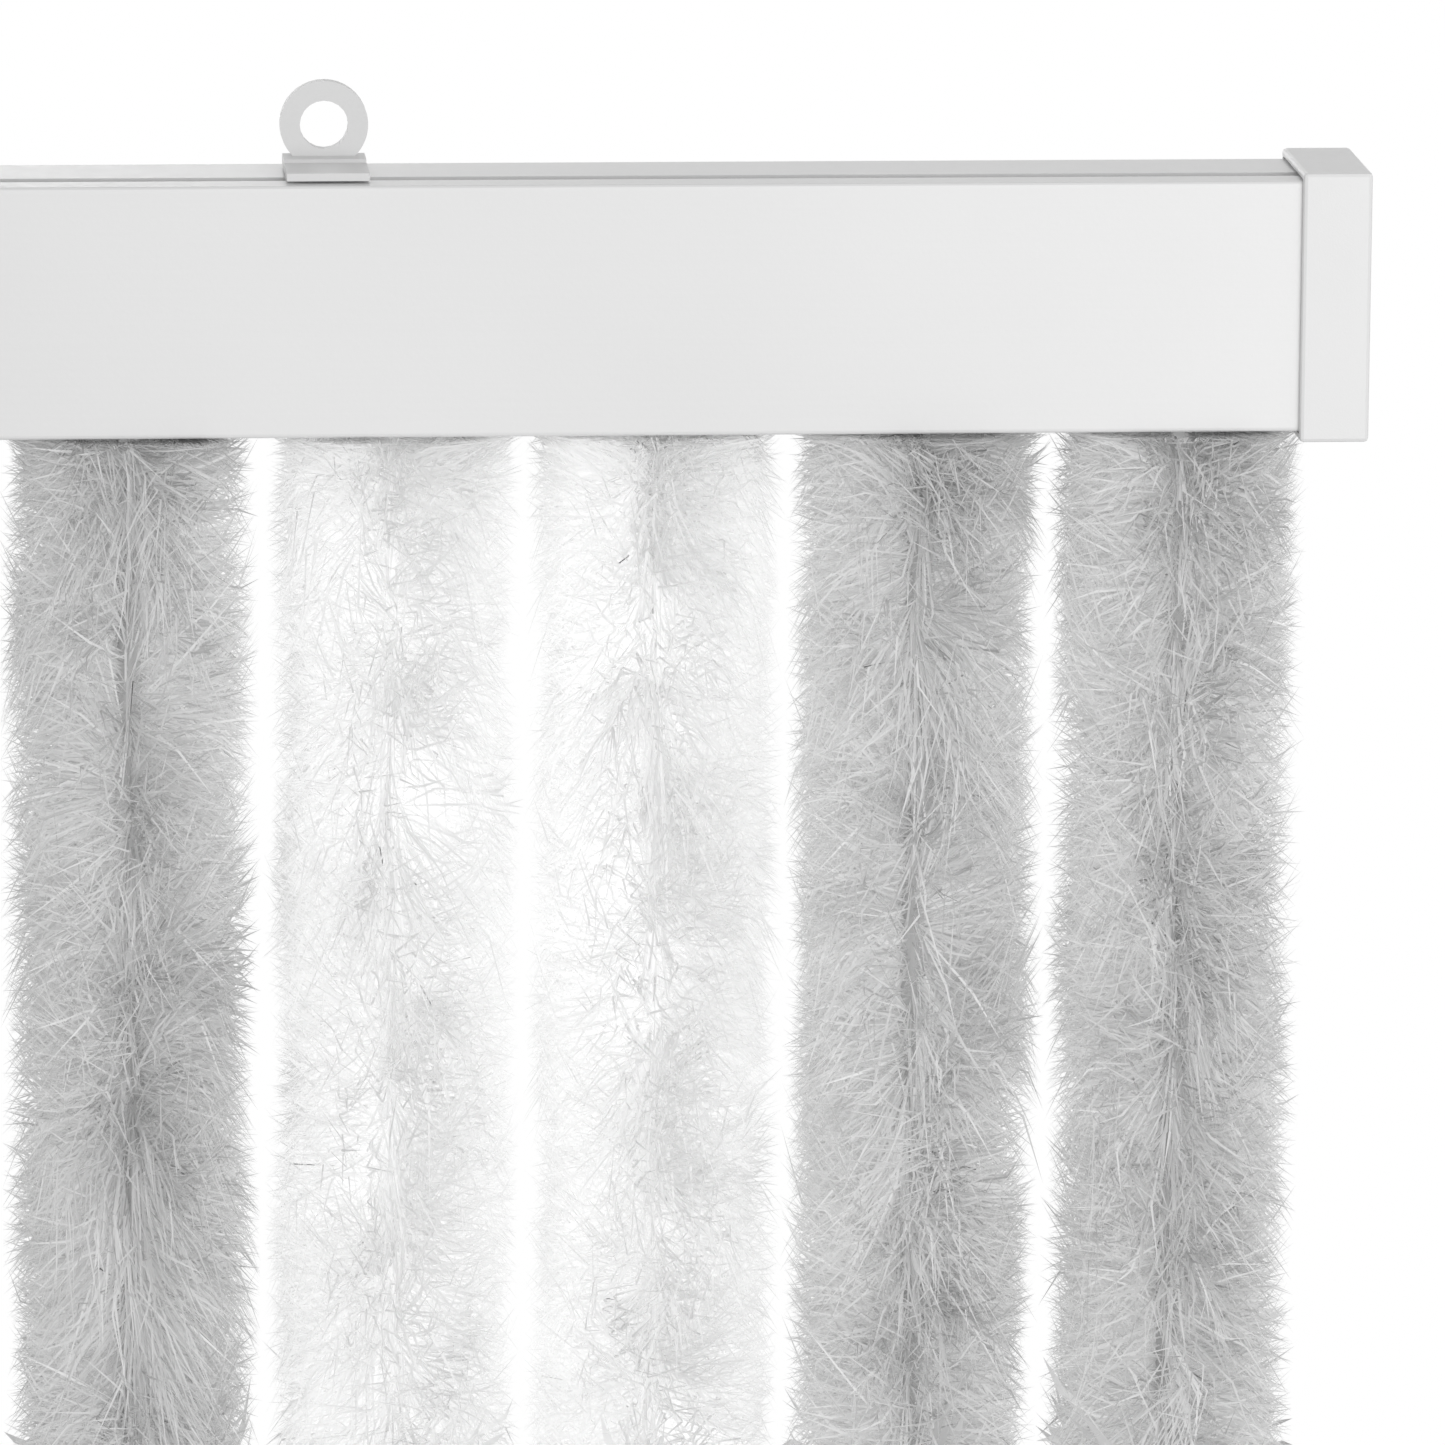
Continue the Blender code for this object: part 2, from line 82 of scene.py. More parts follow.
class Nodes:
    """Adds nodes to one tree. An input given as a socket is linked; anything else is its value."""

    def __init__(self, tree):
        self.tree = tree

    def add(self, kind, inputs=None, **settings):
        node = self.tree.nodes.new(kind)
        for name, value in settings.items():
            setattr(node, name, value)
        shown = [socket for socket in node.inputs if socket.enabled]
        for key, value in (inputs or {}).items():
            named = [socket for socket in shown if socket.name == key]
            socket = shown[key] if isinstance(key, int) else named[0]
            if isinstance(value, bpy.types.NodeSocket):
                self.tree.links.new(value, socket)
            else:
                socket.default_value = value
        return node

    def out(self, kind, inputs=None, name=None, **settings):
        """The new node's first output in use, or the one of that name."""
        outputs = [s for s in self.add(kind, inputs, **settings).outputs if s.enabled]
        return next(s for s in outputs if name in (None, s.name))

    def math(self, operation, *values):
        return self.out("ShaderNodeMath", dict(enumerate(values)), operation=operation)

    def vector(self, x, y, z):
        return self.out("ShaderNodeCombineXYZ", {"X": x, "Y": y, "Z": z})

    def parts(self, vector):
        return self.add("ShaderNodeSeparateXYZ", {"Vector": vector}).outputs[:]

    def remap(self, value, low, high, to_low=0.0, to_high=1.0, smooth=False):
        taken = {"Value": value, "From Min": low, "From Max": high}
        given = {"To Min": to_low, "To Max": to_high}
        kind = "SMOOTHSTEP" if smooth else "LINEAR"
        return self.out("ShaderNodeMapRange", {**taken, **given}, interpolation_type=kind)

    def clamp(self, value, low, high):
        return self.math("MINIMUM", self.math("MAXIMUM", value, low), high)

    def noise(self, vector, scale, detail=1.0, w=0.0, output="Fac"):
        inputs = {"Vector": vector, "W": w, "Scale": scale, "Detail": detail}
        return self.out("ShaderNodeTexNoise", inputs, output, noise_dimensions="4D")

    def store(self, geometry, name, value, data_type="FLOAT", domain="POINT"):
        inputs = {"Geometry": geometry, "Name": name, "Value": value}
        kind = "GeometryNodeStoreNamedAttribute"
        return self.out(kind, inputs, data_type=data_type, domain=domain)


# Pile: a tree that grows fibres round a core along -Z, with the pivot at the origin

PILE_INPUTS = (
    ("Length", "NodeSocketFloat", STRAND_LENGTH),
    ("Core Radius", "NodeSocketFloat", CORE_RADIUS),
    ("Core Start", "NodeSocketFloat", CORE_START),
    ("Reach", "NodeSocketFloat", FIBRE_REACH),
    ("Close Run", "NodeSocketFloat", CLOSE_RUN),
    ("Fade Run", "NodeSocketFloat", FADE_RUN),
    ("Close Fibres", "NodeSocketInt", CLOSE_FIBRES),
    ("Open Fibres", "NodeSocketInt", OPEN_FIBRES),
    ("Close Width", "NodeSocketFloat", CLOSE_WIDTH),
    ("Open Width", "NodeSocketFloat", OPEN_WIDTH),
    ("Close Body", "NodeSocketFloat", CORE_BODY),
    ("Open Body", "NodeSocketFloat", OPEN_BODY),
    ("Ceiling", "NodeSocketFloat", CEILING),
    ("Side Limit", "NodeSocketFloat", SIDE_LIMIT),
    ("Round Limit", "NodeSocketFloat", ROUND_LIMIT),
    ("Tip Limit", "NodeSocketFloat", TIP_LIMIT),
    ("Seed", "NodeSocketInt", 0),
    ("Material", "NodeSocketMaterial", None),
)
CLUMP_SCALE = 75.0  # clumps per metre
TUFT_SCALE = 260.0
SWAY_SCALE = 95.0
EDGE_SCALE = 110.0
PRESSED_BACK = 0.8  # of what reaches past the limit
CLUMP_TILT = math.radians(200)  # for a whole unit of noise, of which about a third is used
TUFT_TILT = math.radians(150)
LONE_TILT = math.radians(24)
CLUMP_SWIRL = math.radians(300)
SIDE_BEND = 3.4
RISE_BEND = 2.0
LONE_BEND = 0.36
TIP_CURL = 3.5  # a fibre bends the more, the nearer its tip
SAG = 0.06  # of a fibre's length
LONE_FACING = 1.2  # against 1 towards the front or the back
LOW_END_TILT = (0.2, 1.55)  # radians, downwards
TOP_END_TILT = (-0.1, 0.5)  # radians, upwards
CLUMP_LENGTH = 0.42
LONE_LENGTH = (0.88, 1.02)
LEAST_LEVEL = 0.55
BLADE_ROOT = 0.55  # of its greatest width
BLADE_WAIST = 0.7  # as far along a fibre as it is broadest
BLADE_ROWS = math.log(BLADE_WAIST) / math.log(0.5)  # moves the middle row there
KITE_WAIST = 0.8
PARTING_TURN = math.radians(18)
PARTING_BEND = 0.3
PARTING_WANDER = 5.0
LEANING_LENGTH = 0.6
END_RUN = 12 * MM  # pile that turns out over each end of the core
TOP_FOLD = 8 * MM
CEILING_ROUNDING = 2 * MM
EDGES = (0.94, 1.05)  # of the round limit
BODY_SIDES = 10
BODY_RINGS = 480
BODY_END = 0.3  # of the end run, short of the tip
LUMP_SCALE = 260.0
LUMPS = (0.78, 1.16)  # of the body's radius
SPECK_SCALE = 310.0
# the strength of the body's painted shade varies by noise at this scale
PAINTED_SHADE_SCALE = 420.0
TONES = (0.02, 0.98)
TONE_LIMITS = (0.01, 0.98)  # keep every fibre on the map
BLOTCHES = (-0.5, 0.4)
FIBRE_TONES = 0.008  # a fibre's width on the map
PAINTED_ROOT_SHADE_RUN = 0.12  # as far along a fibre as the painted shade at its root goes
# the body takes its painted shade from the ramp only up to here
BODY_PAINTED_SHADE_LIMIT = PAINTED_ROOT_SHADE_RUN * 0.55
CLOSE_TONE_AND_PAINTED_SHADE = (0.5, 0.0)  # of a clump's tone, and painted shade on the front and back
OPEN_TONE_AND_PAINTED_SHADE = (1.6, 0.14)
# Steps between the strands' and the noises' places in the fourth dimension, and two seeds
NOISE_STEP = 3.17
SWAY_STEP = 9.0
EDGE_NOISE_STEP = 2.3
BODY_NOISE_STEP = 1.71
PAINTED_SHADE_STEP = 5.0
CLOSE_SEED = 901
OPEN_SEED = 902


def blade(n):
    """One fibre of unit size along +Y: three triangles, broadest past its middle."""
    size = {"Size X": 1.0, "Size Y": 1.0, "Vertices X": 2, "Vertices Y": 3}
    grid = n.add("GeometryNodeMeshGrid", size)
    x, y, _ = n.parts(n.out("GeometryNodeInputPosition"))
    row = n.math("ADD", y, 0.5)
    along = n.math("POWER", row, BLADE_ROWS)
    rising = n.remap(along, 0.0, BLADE_WAIST, BLADE_ROOT, 1.0)
    width = n.math("MULTIPLY", rising, n.remap(along, BLADE_WAIST, 1.0, 1.0, 0.0))
    marked = grid.outputs["Mesh"]
    for name, value in (("along", along), ("across", x)):
        marked = n.store(marked, name, value)
    shaped = n.vector(n.math("MULTIPLY", x, width), along, 0.0)
    moved = n.out("GeometryNodeSetPosition", {"Geometry": marked, "Position": shaped})
    return n.out("GeometryNodeMergeByDistance", {"Geometry": moved, "Distance": 0.05})


def kite(n):
    """A plain fibre for where the pile is open: two triangles of unit size along +Y."""
    size = {"Size X": 1.0, "Size Y": 1.0, "Vertices X": 2, "Vertices Y": 2}
    grid = n.add("GeometryNodeMeshGrid", size)
    x, y, _ = n.parts(n.out("GeometryNodeInputPosition"))
    # Two opposite corners become the root and the tip, the other two the broadest place
    across = n.math("MULTIPLY", n.math("SUBTRACT", x, y), 0.5)
    level = n.math("ADD", x, y)
    even = n.math("MULTIPLY_ADD", level, 0.5, KITE_WAIST)
    along = n.math("MULTIPLY_ADD", n.math("ABSOLUTE", level), 0.5 - KITE_WAIST, even)
    marked = grid.outputs["Mesh"]
    for name, value in (("along", along), ("across", across)):
        marked = n.store(marked, name, value)
    shaped = n.vector(across, along, 0.0)
    return n.out("GeometryNodeSetPosition", {"Geometry": marked, "Position": shaped})


def read(n, name, data_type="FLOAT"):
    return n.out("GeometryNodeInputNamedAttribute", {"Name": name}, data_type=data_type)


def fibres(n, given, down, count, width, first_seed, fibre, clump_shade, painted_middle_shade):
    """Fibres at points whose distance below the pivot is the field down.

    A clump differs in tone by clump_shade, and the front and the back get painted shade, darker by
    the last argument, like the close pile's shaded parting.
    """

    def random(low, high, turn):
        seed = n.math("ADD", given["Seed"], float(first_seed + turn))
        inputs = {"Min": low, "Max": high, "Seed": seed}
        return n.out("FunctionNodeRandomValue", inputs, data_type="FLOAT")

    angle = random(0.0, math.tau, 1)
    cosine, sine = n.math("COSINE", angle), n.math("SINE", angle)
    place = n.vector(
        n.math("MULTIPLY", cosine, given["Reach"]),
        n.math("MULTIPLY", sine, given["Reach"]),
        n.math("MULTIPLY", down, -1.0),
    )
    w = n.math("MULTIPLY", given["Seed"], NOISE_STEP)
    clump = n.parts(n.noise(place, CLUMP_SCALE, 1.0, w, "Color"))
    tuft = n.parts(n.noise(place, TUFT_SCALE, 0.0, w, "Color"))
    sway = n.parts(n.noise(place, SWAY_SCALE, 1.0, n.math("ADD", w, SWAY_STEP), "Color"))
    clump = [n.math("SUBTRACT", value, 0.5) for value in clump]
    tuft = [n.math("SUBTRACT", value, 0.5) for value in tuft]
    sway = [n.math("SUBTRACT", value, 0.5) for value in sway]

    free_tilt = n.math("MULTIPLY_ADD", clump[0], CLUMP_TILT, random(-LONE_TILT, LONE_TILT, 2))
    free_tilt = n.math("MULTIPLY_ADD", tuft[0], TUFT_TILT, free_tilt)
    core_end = n.math("SUBTRACT", given["Length"], END_RUN)
    to_end = n.remap(n.math("SUBTRACT", core_end, down), 0.0, END_RUN)
    from_start = n.remap(n.math("SUBTRACT", down, given["Core Start"]), 0.0, END_RUN)
    drop = n.math("MULTIPLY", n.math("SUBTRACT", to_end, 1.0), random(*LOW_END_TILT, 3))
    rise = n.math("MULTIPLY", n.math("SUBTRACT", 1.0, from_start), random(*TOP_END_TILT, 4))
    tilt = n.math("ADD", n.math("ADD", n.math("MULTIPLY", free_tilt, to_end), drop), rise)
    # The pile parts near the middle of the front and of the back
    wandered = n.math("MULTIPLY_ADD", angle, 2.0, n.math("MULTIPLY", sway[2], PARTING_WANDER))
    doubled = n.math("SINE", wandered)
    swirl = n.math("MULTIPLY_ADD", doubled, -PARTING_TURN, angle)
    swirl = n.math("MULTIPLY_ADD", clump[1], CLUMP_SWIRL, swirl)
    swirl = n.math("MULTIPLY_ADD", tuft[1], TUFT_TILT, swirl)
    level = n.math("COSINE", tilt)
    way = n.vector(
        n.math("MULTIPLY", n.math("COSINE", swirl), level),
        n.math("MULTIPLY", n.math("SINE", swirl), level),
        n.math("SINE", tilt),
    )

    share = n.math("MULTIPLY_ADD", clump[2], CLUMP_LENGTH, random(*LONE_LENGTH, 5))
    # Leaning fibres are longer, so that the pile is as wide there
    longer = n.math("POWER", n.math("MAXIMUM", level, LEAST_LEVEL), -LEANING_LENGTH)
    reach = n.math("MULTIPLY", given["Reach"], n.math("MINIMUM", share, LONE_LENGTH[1]))
    reach = n.math("MULTIPLY", reach, longer)
    lone = random(-LONE_BEND, LONE_BEND, 10)
    sideways = n.math("MULTIPLY_ADD", doubled, -PARTING_BEND, lone)
    sideways = n.math("MULTIPLY_ADD", sway[0], SIDE_BEND, sideways)
    sideways = n.math("MULTIPLY", sideways, reach)
    lone = random(-LONE_BEND - SAG, LONE_BEND - SAG, 6)
    upward = n.math("MULTIPLY_ADD", sway[1], RISE_BEND, lone)
    bend = n.vector(
        n.math("MULTIPLY", n.math("MULTIPLY", sine, -1.0), sideways),
        n.math("MULTIPLY", cosine, sideways),
        n.math("MULTIPLY", upward, reach),
    )
    tone = n.math("MULTIPLY_ADD", clump[1], clump_shade, random(*TONES, 7))
    # Painted shade: darker on the front and the back
    tone = n.math("MULTIPLY_ADD", n.math("MULTIPLY", sine, sine), -painted_middle_shade, tone)
    tone = n.clamp(tone, *TONE_LIMITS)

    root = n.vector(
        n.math("MULTIPLY", cosine, given["Core Radius"]),
        n.math("MULTIPLY", sine, given["Core Radius"]),
        n.math("MULTIPLY", down, -1.0),
    )
    points = n.out("GeometryNodePoints", {"Count": count, "Position": root})
    for name, value, kind in (("tone", tone, "FLOAT"), ("bend", bend, "FLOAT_VECTOR")):
        points = n.store(points, name, value, kind)
    # A fibre's flat side faces the front or the back, more or less
    front = n.math("MULTIPLY_ADD", n.math("GREATER_THAN", sine, 0.0), 2.0, -1.0)
    sidelong, downhill = (random(-LONE_FACING, LONE_FACING, turn) for turn in (8, 9))
    facing = n.vector(sidelong, front, downhill)
    turned = n.out(
        "FunctionNodeAxesToRotation",
        {"Primary Axis": way, "Secondary Axis": facing},
        primary_axis="Y",
        secondary_axis="Z",
    )
    placed = {"Points": points, "Instance": fibre, "Rotation": turned}
    placed["Scale"] = n.vector(width, reach, 1.0)
    return n.out("GeometryNodeInstanceOnPoints", placed)


def packed_body(n, given):
    """The inner pile, too close for single fibres to show: an uneven tube round the core, its
    colour darkened as painted shade.
    """
    start = n.vector(0.0, 0.0, n.math("MULTIPLY", given["Core Start"], -1.0))
    low_end = n.vector(0.0, 0.0, n.math("SUBTRACT", END_RUN * BODY_END, given["Length"]))
    line = n.out("GeometryNodeCurvePrimitiveLine", {"Start": start, "End": low_end})
    line = n.out("GeometryNodeResampleCurve", {"Curve": line, "Count": BODY_RINGS})
    down = n.out("GeometryNodeSplineParameter", name="Length")
    opened = n.remap(
        down,
        given["Close Run"],
        n.math("ADD", given["Close Run"], given["Fade Run"]),
        given["Close Body"],
        given["Open Body"],
        True,
    )
    left = n.math("SUBTRACT", n.math("SUBTRACT", given["Length"], down), END_RUN)
    rounding = n.math("SQRT", n.remap(left, -END_RUN, END_RUN * 0.5, 0.05, 1.0))
    ring = n.out("GeometryNodeCurvePrimitiveCircle", {"Resolution": BODY_SIDES, "Radius": 1.0})
    swept = {"Curve": line, "Profile Curve": ring, "Fill Caps": True}
    swept["Scale"] = n.math("MULTIPLY", opened, rounding)
    tube = n.out("GeometryNodeCurveToMesh", swept)
    position = n.out("GeometryNodeInputPosition")
    w = n.math("MULTIPLY", given["Seed"], BODY_NOISE_STEP)
    lumps = n.remap(n.noise(position, LUMP_SCALE, 2.0, w), 0.25, 0.75, *LUMPS)
    x, y, z = n.parts(position)
    uneven = n.vector(n.math("MULTIPLY", x, lumps), n.math("MULTIPLY", y, lumps), z)
    tube = n.out("GeometryNodeSetPosition", {"Geometry": tube, "Position": uneven})
    speck = n.remap(n.noise(position, SPECK_SCALE, 2.0, w), 0.3, 0.7, *TONES)
    blotch = n.remap(n.noise(position, CLUMP_SCALE, 1.0, w), 0.35, 0.65, *BLOTCHES)
    tone = n.clamp(n.math("ADD", speck, blotch), *TONE_LIMITS)
    # Painted shade, uneven in strength
    painted_shade = n.noise(position, PAINTED_SHADE_SCALE, 2.0, n.math("ADD", w, PAINTED_SHADE_STEP))
    painted_shade = n.remap(painted_shade, 0.25, 0.75, 0.4, 1.0)
    # Painted shade: the body's colour is darkest on the front and the back, like the shaded parting
    # of the close pile
    across = n.math("MULTIPLY", x, x)
    all_round = n.math("MULTIPLY_ADD", y, y, n.math("MAXIMUM", across, 1e-8))
    to_side = n.math("DIVIDE", across, all_round)
    along = n.math("MULTIPLY", painted_shade, n.remap(to_side, 0.0, 0.8, 0.0, BODY_PAINTED_SHADE_LIMIT))
    return n.store(n.store(tube, "tone", tone), "along", along)


def pile_tree():
    tree = bpy.data.node_groups.new("chenille pile", "GeometryNodeTree")
    tree.interface.new_socket("Geometry", in_out="INPUT", socket_type="NodeSocketGeometry")
    for name, kind, value in PILE_INPUTS:
        socket = tree.interface.new_socket(name, in_out="INPUT", socket_type=kind)
        if value is not None:
            socket.default_value = value
    tree.interface.new_socket("Geometry", in_out="OUTPUT", socket_type="NodeSocketGeometry")
    n = Nodes(tree)
    given = n.add("NodeGroupInput").outputs

    def share(turn):
        inputs = {"Min": 0.0, "Max": 1.0, "Seed": n.math("ADD", given["Seed"], float(turn))}
        return n.out("FunctionNodeRandomValue", inputs, data_type="FLOAT")

    # Close pile: even down to the close run, then thinning out steadily over the fade run
    half_fade = n.math("MULTIPLY", given["Fade Run"], 0.5)
    whole_run = n.math("ADD", given["Close Run"], half_fade)
    even_share = n.math("DIVIDE", given["Close Run"], whole_run)
    drawn = share(CLOSE_SEED)
    even = n.math("MULTIPLY", n.math("DIVIDE", drawn, even_share), given["Close Run"])
    late = n.remap(drawn, even_share, 1.0)
    thinning = n.math("SUBTRACT", 1.0, n.math("SQRT", n.math("SUBTRACT", 1.0, late)))
    faded = n.math("MULTIPLY_ADD", thinning, given["Fade Run"], given["Close Run"])
    is_late = n.math("GREATER_THAN", drawn, even_share)
    either = {"Factor": is_late, "A": even, "B": faded}
    close_down = n.out("ShaderNodeMix", either, data_type="FLOAT")
    # The first of it is laid over itself, so that the pile is fuller under the rail
    close_down = n.math("ABSOLUTE", n.math("SUBTRACT", close_down, TOP_FOLD))
    close_down = n.math("ADD", close_down, given["Core Start"])
    core_end = n.math("SUBTRACT", given["Length"], END_RUN)
    open_down = n.remap(share(OPEN_SEED), 0.0, 1.0, given["Close Run"], core_end)

    fibre = blade(n)
    close_width = n.remap(
        close_down,
        given["Close Run"],
        n.math("ADD", given["Close Run"], given["Fade Run"]),
        given["Close Width"],
        given["Open Width"],
    )
    joined = n.add("GeometryNodeJoinGeometry")
    close_count, open_count = given["Close Fibres"], given["Open Fibres"]
    open_width = given["Open Width"]
    rows = (
        fibres(n, given, close_down, close_count, close_width, 100, fibre, *CLOSE_TONE_AND_PAINTED_SHADE),
        fibres(n, given, open_down, open_count, open_width, 300, kite(n), *OPEN_TONE_AND_PAINTED_SHADE),
    )
    for row in rows:
        tree.links.new(row, joined.inputs[0])
    pile = n.out("GeometryNodeRealizeInstances", {"Geometry": joined.outputs[0]})
    along = read(n, "along")
    curl = {0: read(n, "bend", "FLOAT_VECTOR"), "Scale": n.math("POWER", along, TIP_CURL)}
    pull = n.out("ShaderNodeVectorMath", curl, operation="SCALE")
    pile = n.out("GeometryNodeSetPosition", {"Geometry": pile, "Offset": pull})
    x, y, z = n.parts(n.out("GeometryNodeInputPosition"))
    spread = n.math("SQRT", n.math("ADD", n.math("MULTIPLY", x, x), n.math("MULTIPLY", y, y)))
    w = n.math("MULTIPLY", given["Seed"], EDGE_NOISE_STEP)
    edge = n.remap(n.noise(n.vector(x, y, z), EDGE_SCALE, 2.0, w), 0.3, 0.7, *EDGES)
    edge = n.math("MULTIPLY", given["Round Limit"], edge)
    over = n.math("MAXIMUM", n.math("SUBTRACT", spread, edge), 0.0)
    pressed = n.math("MULTIPLY", over, PRESSED_BACK)
    kept = n.math("SUBTRACT", 1.0, n.math("DIVIDE", pressed, n.math("MAXIMUM", spread, 1 * MM)))
    x, y = n.math("MULTIPLY", x, kept), n.math("MULTIPLY", y, kept)
    x = n.clamp(x, n.math("MULTIPLY", given["Side Limit"], -1.0), given["Side Limit"])
    z = n.math("SMOOTH_MIN", z, given["Ceiling"], CEILING_ROUNDING)
    tip = n.math("ADD", given["Length"], given["Tip Limit"])
    z = n.math("MAXIMUM", z, n.math("MULTIPLY", tip, -1.0))
    pile = n.out("GeometryNodeSetPosition", {"Geometry": pile, "Position": n.vector(x, y, z)})

    pile = n.out("GeometryNodeSetShadeSmooth", {"Geometry": pile})
    whole = n.add("GeometryNodeJoinGeometry")
    for part in (pile, packed_body(n, given)):
        tree.links.new(part, whole.inputs[0])
    shade = n.math("MULTIPLY_ADD", read(n, "across"), FIBRE_TONES, read(n, "tone"))
    on_map = n.vector(shade, read(n, "along"), 0.0)
    whole = n.store(whole.outputs[0], PILE_MAP, on_map, "FLOAT2", "CORNER")
    for name in ("along", "across", "tone", "bend"):
        whole = n.out("GeometryNodeRemoveAttribute", {"Geometry": whole, "Name": name})
    whole = n.out("GeometryNodeRealizeInstances", {"Geometry": whole})
    whole = n.out("GeometryNodeSetMaterial", {"Geometry": whole, "Material": given["Material"]})
    n.add("NodeGroupOutput", {0: whole})
    return tree


def thread_loop_mesh():
    """The core thread's loop through the glider's eye, its legs ending in the pile."""
    bend, half = THREAD_DIAMETER, THREAD_HALF_WIDTH
    quarter = [math.radians(90 - 15 * i) for i in range(7)]
    right = [(half - bend + bend * math.cos(a), bend * math.sin(a) - bend) for a in quarter]
    right.append((half, -THREAD_LEG))
    line = [(-x, z) for x, z in reversed(right)] + right
    curve = bpy.data.curves.new("thread loop", "CURVE")
    curve.dimensions = "3D"
    curve.bevel_depth = THREAD_DIAMETER / 2
    curve.bevel_resolution = 2
    curve.use_fill_caps = True
    spline = curve.splines.new("POLY")
    spline.points.add(len(line) - 1)
    for point, (x, z) in zip(spline.points, line):
        point.co = (x, 0, z, 1)
    loop = bpy.data.objects.new("thread loop", curve)
    mesh = bpy.data.meshes.new_from_object(loop)
    bpy.data.objects.remove(loop)
    return mesh


def is_grey(index):
    """Pairs of grey and white, counted from the nearer end, grey outermost."""
    return min(index, STRAND_COUNT - 1 - index) // 2 % 2 == 0


def strand(index, tree, sockets, material, thread):
    """One strand's pile and thread loop as a plain mesh, in its place."""
    name = f"chenille_strand_{index + 1:02d}"
    grower = bpy.data.objects.new(name + "_grower", bpy.data.meshes.new(name + "_grower"))
    bpy.context.scene.collection.objects.link(grower)
    modifier = grower.modifiers.new("pile", "NODES")
    modifier.node_group = tree
    modifier[sockets["Seed"]] = 11 + 7 * index
    modifier[sockets["Material"]] = material
    graph = bpy.context.evaluated_depsgraph_get()
    mesh = bpy.data.meshes.new_from_object(grower.evaluated_get(graph), depsgraph=graph)
    bpy.data.objects.remove(grower)

    work = bmesh.new()
    work.from_mesh(mesh)
    old = len(work.faces)
    work.from_mesh(thread)
    work.faces.ensure_lookup_table()
    pile_slot = work.faces[0].material_index
    layer = work.loops.layers.uv[PILE_MAP]
    for face in work.faces[old:]:
        face.material_index = pile_slot
        face.smooth = True
        for turn, corner in enumerate(face.loops):
            corner[layer].uv = (0.5 + 0.1 * (turn % 2), 0.3 + 0.1 * (turn // 2))
    work.to_mesh(mesh)
    work.free()
    x = (index + 1 / 2 - STRAND_COUNT / 2) * STRAND_PITCH
    mesh.transform(Matrix.Translation((x, ROW_MIDDLE, PIVOT_HEIGHT)))
    mesh.name = name
    piece = bpy.data.objects.new(name, mesh)
    bpy.context.scene.collection.objects.link(piece)
    return piece, x


def hang_strand(piece, node):
    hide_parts(node)
    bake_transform(piece)


# Materials


def new_material(name):
    material = bpy.data.materials.new(name)
    material.use_nodes = True
    n = Nodes(material.node_tree)
    return material, n, material.node_tree.nodes["Principled BSDF"].inputs


def link(n, source, socket):
    n.tree.links.new(source, socket)


def grey_of(n, value):
    return n.out("ShaderNodeCombineColor", {"Red": value, "Green": value, "Blue": value})


def ramp(n, value, stops):
    """A grey ramp of (position, shade)."""
    node = n.add("ShaderNodeValToRGB", {0: value})
    elements = node.color_ramp.elements
    while len(elements) < len(stops):
        elements.new(0.5)
    for element, (position, shade) in zip(elements, stops):
        element.position = position
        element.color = (shade, shade, shade, 1)
    return node.outputs["Color"]


FIBRE_SHADE = (0.93, 0.93, 0.93, 1)  # what one fibre lets through to the next


def pile_material(name, shades, painted_root_shade):
    """Fibres of many shades, darkened by painted shade towards the root, where the pile is deep,
    and a little at the tip, to even out the lit sides.
    """
    material, n, surface = new_material(name)
    place = n.out("ShaderNodeUVMap", name="UV", uv_map=PILE_MAP)
    shade, along, _ = n.parts(place)
    colour = ramp(n, shade, shades)
    # Painted shade along each fibre: darker at the root and a little at the tip
    painted_shade = ramp(n, along, painted_root_shade)
    mixed = n.out(
        "ShaderNodeMix",
        {"Factor": 1.0, "A": colour, "B": painted_shade},
        "Result",
        data_type="RGBA",
        blend_type="MULTIPLY",
    )
    link(n, mixed, surface["Base Color"])
    link(n, n.remap(shade, 0.0, 1.0, 0.62, 0.36), surface["Roughness"])
    surface["Specular IOR Level"].default_value = 0.45
    # Thin glossy fibres shade each other only in part
    solid = n.tree.nodes["Principled BSDF"].outputs["BSDF"]
    clear = n.out("ShaderNodeBsdfTransparent", {"Color": FIBRE_SHADE})
    is_shadow = n.add("ShaderNodeLightPath").outputs["Is Shadow Ray"]
    both = n.add("ShaderNodeMixShader", {0: is_shadow, 1: solid, 2: clear})
    link(n, both.outputs["Shader"], n.tree.nodes["Material Output"].inputs["Surface"])
    return material


def finish_material(name, shade, roughness, grain, line_depth=0.0, mottle=0.02):
    """A painted or moulded surface: mottle in its colour and shine, grain, and lines along X."""
    material, n, surface = new_material(name)
    place = n.out("ShaderNodeTexCoord", name="Object")
    cloud = n.noise(place, 14.0, 3.0)
    speck = n.noise(place, 900.0, 2.0)
    value = n.remap(cloud, 0.3, 0.7, shade - mottle, shade + mottle)
    value = n.math("MULTIPLY_ADD", n.math("SUBTRACT", speck, 0.5), mottle, value)
    link(n, grey_of(n, value), surface["Base Color"])
    link(n, n.remap(speck, 0.3, 0.7, roughness - 0.04, roughness + 0.05), surface["Roughness"])
    fine = n.noise(place, grain, 2.0)
    bump = n.add("ShaderNodeBump", {"Strength": 0.35, "Distance": 0.03 * MM, "Height": fine})
    if line_depth:
        stretched = n.out("ShaderNodeMapping", {"Vector": place, "Scale": (2.0, 1800.0, 1800.0)})
        lines = n.noise(stretched, 1.0, 2.0)
        bump = n.add(
            "ShaderNodeBump",
            {"Strength": 0.4, "Distance": line_depth, "Height": lines, "Normal": bump.outputs[0]},
        )
    link(n, bump.outputs[0], surface["Normal"])
    return material


def dress(names, material):
    for name in names:
        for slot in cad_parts[name].material_slots:
            slot.material = material


# Stage


